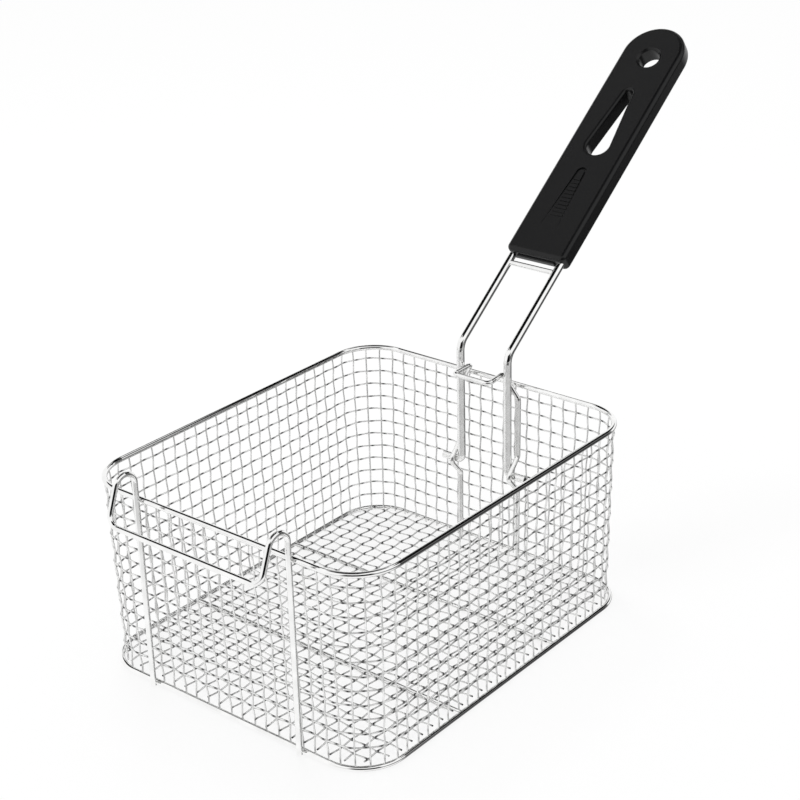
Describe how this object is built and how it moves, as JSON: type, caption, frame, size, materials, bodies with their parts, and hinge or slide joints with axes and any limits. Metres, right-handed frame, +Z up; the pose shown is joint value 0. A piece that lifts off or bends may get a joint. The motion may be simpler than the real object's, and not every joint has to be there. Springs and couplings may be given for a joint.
{
  "type": "fryer basket",
  "caption": "Rounded rectangular wire-mesh fryer basket with a hanging hook at the front and a long sloping gripped handle that folds inwards.",
  "frame": {"origin": "centre of the basket's footprint on the surface it stands on", "axes": "+Z up; +Y towards the handle; +X to the right when looking along +Y; the hanging hook is on the -Y end"},
  "size_m": [0.187, 0.4249, 0.269],
  "materials": {
    "plated_wire": "bright plating on drawn steel wire",
    "plated_mesh": "bright plating on fine woven steel wire",
    "black_grip": "satin black heat-proof plastic"
  },
  "bodies": {
    "basket": {"rim_hoop": "plated_wire", "base_hoop": "plated_wire", "floor_support_bars": "plated_wire", "hanging_hook": "plated_wire", "handle_bracket": "plated_wire", "back_uprights": "plated_mesh", "front_uprights": "plated_mesh", "left_uprights": "plated_mesh", "right_uprights": "plated_mesh", "back_left_corner_uprights": "plated_mesh", "back_right_corner_uprights": "plated_mesh", "front_left_corner_uprights": "plated_mesh", "front_right_corner_uprights": "plated_mesh", "wall_rings": "plated_mesh", "floor_lengthwise_wires": "plated_mesh", "floor_crosswise_wires": "plated_mesh"},
    "handle": {"handle_wire": "plated_wire", "handle_cross_bar": "plated_wire", "handle_grip": "black_grip"}
  },
  "joints": [
    {"name": "handle_fold", "type": "hinge", "parent": "basket", "child": "handle", "pos_m": [0, 0.1031, 0.0536], "axis": [1, 0, 0], "range_deg": [0, 111.9]}
  ]
}
